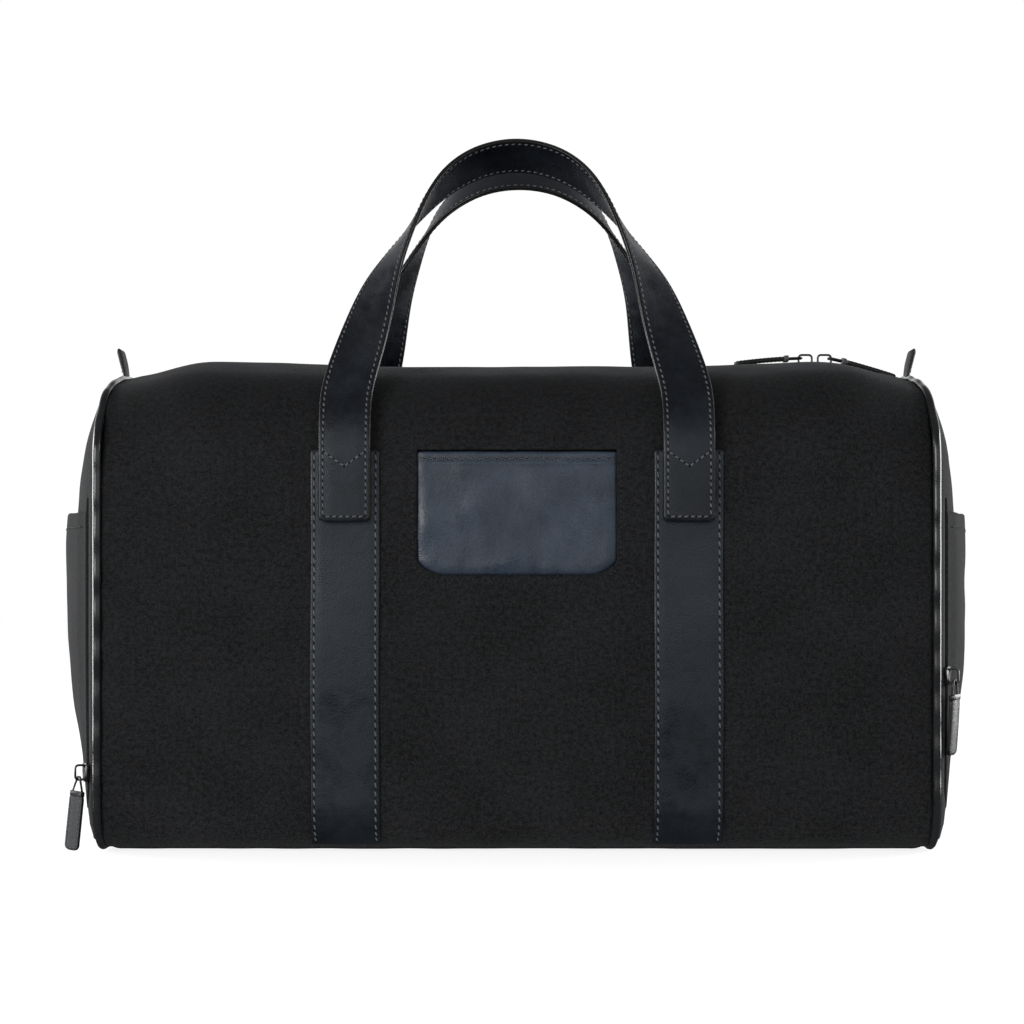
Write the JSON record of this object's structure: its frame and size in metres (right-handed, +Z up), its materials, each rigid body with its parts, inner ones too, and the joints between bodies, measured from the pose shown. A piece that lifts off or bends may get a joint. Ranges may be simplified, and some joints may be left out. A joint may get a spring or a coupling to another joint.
{
  "type": "weekender bag",
  "caption": "Soft canvas weekender bag with leather bands, twisted leather carry handles, zipped top mouth, leather front patch pocket, and domed zipped end compartments with slip pockets.",
  "frame": {"origin": "centre of the flat underside of the base", "axes": "+X along the bag to its right end seen from the front, -Y towards the front with the patch pocket, +Z up"},
  "size_m": [0.613, 0.2754, 0.4639],
  "materials": {
    "canvas": "matte black plain-weave canvas",
    "band_leather": "satin black grained leather",
    "handle_leather": "satin black leather with painted edges and tonal stitching",
    "pocket_leather": "soft satin black nappa leather",
    "piping_leather": "glossy black leather cord",
    "pull_leather": "satin black leather",
    "zip_metal": "black nickel plated metal, semi-gloss",
    "zip_tape": "matte black woven tape",
    "zip_teeth": "black moulded teeth",
    "lining_cloth": "matte dark grey twill lining",
    "stiffener": "matte black sheet"
  },
  "bodies": {
    "bag": {"base_board": "stiffener", "base_panel": "canvas", "front_band_left": "band_leather", "front_band_right": "band_leather", "front_handle_foot_left": "handle_leather", "front_handle_foot_right": "handle_leather", "front_panel": "canvas", "front_pocket_bag": "lining_cloth", "front_pocket_panel": "pocket_leather", "inner_pocket": "lining_cloth", "left_end_panel": "canvas", "left_end_piping": "piping_leather", "left_end_tab": "band_leather", "left_end_zip_tape_ring": "zip_tape", "left_end_zip_teeth_ring": "zip_teeth", "left_shoe_lining": "lining_cloth", "main_lining": "lining_cloth", "rear_band_left": "band_leather", "rear_band_right": "band_leather", "rear_handle_foot_left": "handle_leather", "rear_handle_foot_right": "handle_leather", "rear_panel": "canvas", "right_end_panel": "canvas", "right_end_piping": "piping_leather", "right_end_tab": "band_leather", "right_end_zip_tape_ring": "zip_tape", "right_end_zip_teeth_ring": "zip_teeth", "right_shoe_lining": "lining_cloth", "top_zip_tape_ends": "zip_tape", "top_zip_teeth_ends": "zip_teeth"},
    "front_handle": {"front_handle": "handle_leather"},
    "rear_handle": {"rear_handle": "handle_leather"},
    "mouth_front": {"top_flap_front": "canvas", "top_zip_tape_front": "zip_tape", "top_zip_teeth_front": "zip_teeth"},
    "mouth_rear": {"top_flap_rear": "canvas", "top_zip_tape_rear": "zip_tape", "top_zip_teeth_rear": "zip_teeth"},
    "top_slider_left": {"top_slider_left": "zip_metal"},
    "top_pull_left": {"top_pull_link_left": "zip_metal", "top_pull_leather_left": "pull_leather"},
    "left_flap": {"left_end_flap": "canvas", "left_end_pocket": "canvas", "left_end_zip_tape_flap": "zip_tape", "left_end_zip_teeth_flap": "zip_teeth"},
    "left_slider": {"left_slider": "zip_metal"},
    "left_pull": {"left_pull_link": "zip_metal", "left_pull_leather": "pull_leather"},
    "top_slider_right": {"top_slider_right": "zip_metal"},
    "top_pull_right": {"top_pull_link_right": "zip_metal", "top_pull_leather_right": "pull_leather"},
    "right_flap": {"right_end_flap": "canvas", "right_end_pocket": "canvas", "right_end_zip_tape_flap": "zip_tape", "right_end_zip_teeth_flap": "zip_teeth"},
    "right_slider": {"right_slider": "zip_metal"},
    "right_pull": {"right_pull_link": "zip_metal", "right_pull_leather": "pull_leather"}
  },
  "joints": [
    {"name": "front_handle_fold", "type": "hinge", "parent": "bag", "child": "front_handle", "pos_m": [0, -0.1382, 0.2424], "axis": [1, 0, 0], "range_deg": [0, 180]},
    {"name": "rear_handle_fold", "type": "hinge", "parent": "bag", "child": "rear_handle", "pos_m": [0, 0.1382, 0.2424], "axis": [-1, 0, 0], "range_deg": [0, 180]},
    {"name": "mouth_front_open", "type": "hinge", "parent": "bag", "child": "mouth_front", "pos_m": [0, -0.088, 0.3035], "axis": [1, 0, 0], "range_deg": [0, 50]},
    {"name": "mouth_rear_open", "type": "hinge", "parent": "bag", "child": "mouth_rear", "pos_m": [0, 0.088, 0.3035], "axis": [-1, 0, 0], "range_deg": [0, 50]},
    {"name": "top_slider_left_run", "type": "slide", "parent": "bag", "child": "top_slider_left", "axis": [-1, 0, 0], "range_m": [0, 0.41]},
    {"name": "top_slider_right_run", "type": "slide", "parent": "bag", "child": "top_slider_right", "axis": [1, 0, 0], "range_m": [0, 0.005]},
    {"name": "top_pull_left_swing", "type": "hinge", "parent": "top_slider_left", "child": "top_pull_left", "pos_m": [0.1932, 0, 0.3214], "axis": [0, 1, 0], "range_deg": [0, 85]},
    {"name": "top_pull_right_swing", "type": "hinge", "parent": "top_slider_right", "child": "top_pull_right", "pos_m": [0.2118, 0, 0.3214], "axis": [0, -1, 0], "range_deg": [0, 85]},
    {"name": "left_flap_open", "type": "hinge", "parent": "bag", "child": "left_flap", "pos_m": [-0.298, 0, 0.222], "axis": [0, 1, 0], "range_deg": [0, 85]},
    {"name": "left_slider_run", "type": "slide", "parent": "left_flap", "child": "left_slider", "axis": [0, 0, 1], "range_m": [0, 0.125]},
    {"name": "left_pull_swing", "type": "hinge", "parent": "left_slider", "child": "left_pull", "pos_m": [-0.27277, -0.12352, 0.0482], "axis": [-0.4672, 0.8842, 0], "range_deg": [0, 120]},
    {"name": "right_flap_open", "type": "hinge", "parent": "bag", "child": "right_flap", "pos_m": [0.298, 0, 0.222], "axis": [0, -1, 0], "range_deg": [0, 85]},
    {"name": "right_slider_run", "type": "slide", "parent": "right_flap", "child": "right_slider", "axis": [0, 0, 1], "range_m": [-0.06, 0.065]},
    {"name": "right_pull_swing", "type": "hinge", "parent": "right_slider", "child": "right_pull", "pos_m": [0.27277, -0.12352, 0.1082], "axis": [-0.4672, -0.8842, 0], "range_deg": [0, 120]}
  ]
}
